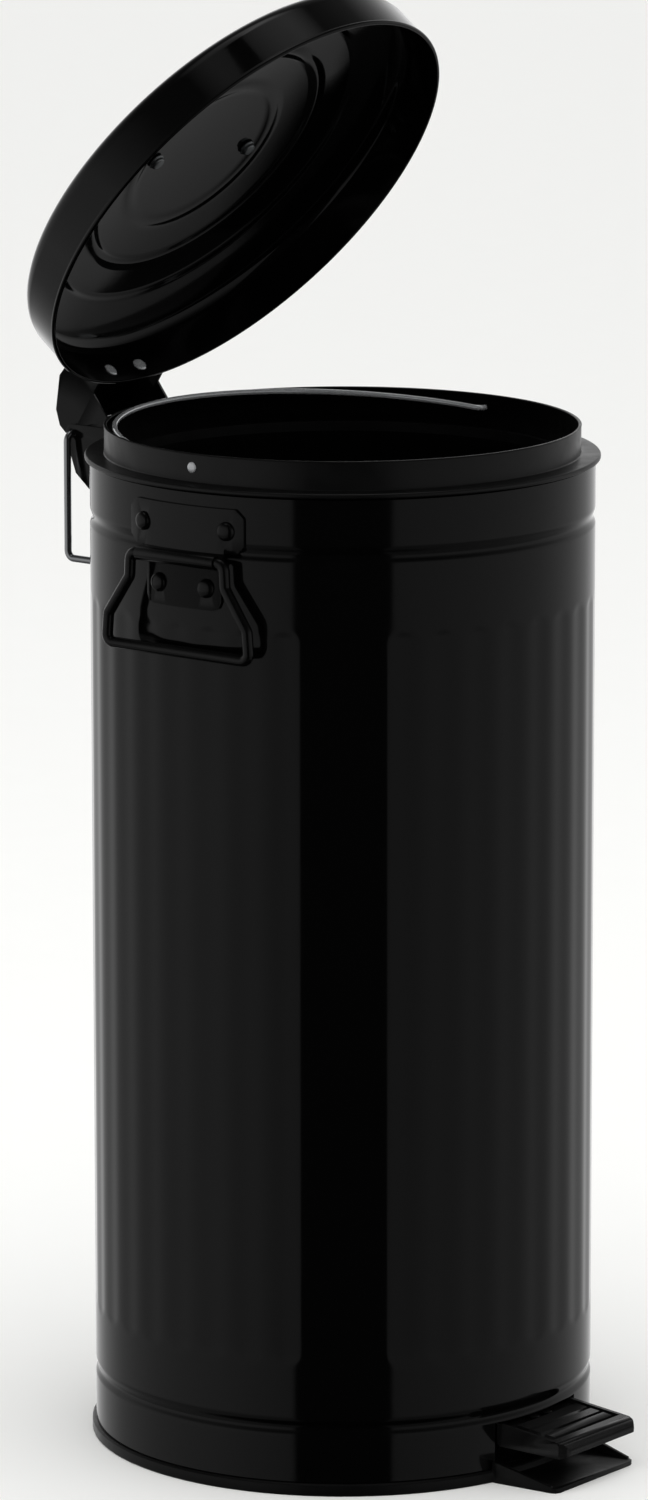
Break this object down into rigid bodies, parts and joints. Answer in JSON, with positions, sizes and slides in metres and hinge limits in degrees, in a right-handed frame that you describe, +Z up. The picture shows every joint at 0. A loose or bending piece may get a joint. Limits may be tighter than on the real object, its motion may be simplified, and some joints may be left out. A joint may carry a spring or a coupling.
{
  "type": "pedal bin",
  "caption": "Tall round pedal bin of fluted black steel with a hinged domed lid, a lift-out inner bucket, drop handles on the sides and a foot pedal that works a lift rod.",
  "frame": {"origin": "Centre of the round base on the floor, on the axis of the shell.", "axes": "+Z is up along the axis of the shell. The pedal is towards -Y and the lid's hinge towards +Y. X is the hinge axis direction."},
  "size_m": [0.3132, 0.3827, 0.8526],
  "materials": {
    "painted": "gloss black paint on pressed steel",
    "chrome": "bright plated wire and rivets",
    "plastic": "moulded black plastic",
    "steel": "zinc plated steel, unpainted"
  },
  "bodies": {
    "bin": {"body_shell": "painted", "base": "plastic", "axle_stand": "steel", "pedal_axle": "steel", "rod_guide": "plastic", "hinge_bracket": "painted", "bracket_rivet_left": "steel", "bracket_rivet_right": "steel", "hinge_wire": "chrome", "handle_plate_left": "painted", "handle_plate_right": "painted", "rivet_upper_front_left": "painted", "rivet_upper_rear_left": "painted", "rivet_lower_front_left": "painted", "rivet_lower_rear_left": "painted", "rivet_upper_front_right": "painted", "rivet_upper_rear_right": "painted", "rivet_lower_front_right": "painted", "rivet_lower_rear_right": "painted"},
    "lid": {"lid_shell": "painted", "lid_bracket": "painted", "lid_rivet_left": "chrome", "lid_rivet_right": "chrome", "lid_handle": "painted", "lid_screw_left": "steel", "lid_screw_right": "steel"},
    "pedal": {"pedal_pad": "plastic", "pedal_lever": "steel", "pad_rivet_right": "steel", "pad_rivet_left": "steel"},
    "rod": {"lift_rod": "steel"},
    "bucket": {"inner_bucket": "painted"},
    "bail": {"bucket_bail": "chrome"},
    "handle_left": {"side_handle_left": "painted"},
    "handle_right": {"side_handle_right": "painted"}
  },
  "joints": [
    {"name": "lid_hinge", "type": "hinge", "parent": "bin", "child": "lid", "pos_m": [0, 0.176, 0.584], "axis": [-1, 0, 0], "range_deg": [-51.7, 35]},
    {"name": "pedal_pivot", "type": "hinge", "parent": "bin", "child": "pedal", "pos_m": [0, -0.031, 0.0205], "axis": [1, 0, 0], "range_deg": [0, 6]},
    {"name": "rod_lift", "type": "slide", "parent": "bin", "child": "rod", "axis": [0, 0, 1], "range_m": [0, 0.0176]},
    {"name": "side_handle_left_swing", "type": "hinge", "parent": "bin", "child": "handle_left", "pos_m": [-0.1524, 0, 0.545], "axis": [0, 1, 0], "range_deg": [0, 100]},
    {"name": "side_handle_right_swing", "type": "hinge", "parent": "bin", "child": "handle_right", "pos_m": [0.1524, 0, 0.545], "axis": [0, -1, 0], "range_deg": [0, 100]},
    {"name": "bucket_lift", "type": "slide", "parent": "bin", "child": "bucket", "axis": [0, 0, 1], "range_m": [0, 0.025]},
    {"name": "bucket_bail_swing", "type": "hinge", "parent": "bucket", "child": "bail", "pos_m": [0, 0, 0.595], "axis": [1, 0, 0], "range_deg": [0, 172.8]}
  ],
  "couplings": [
    {"joint": "rod_lift", "follows": "pedal_pivot", "m_per_rad": 0.16711}
  ]
}
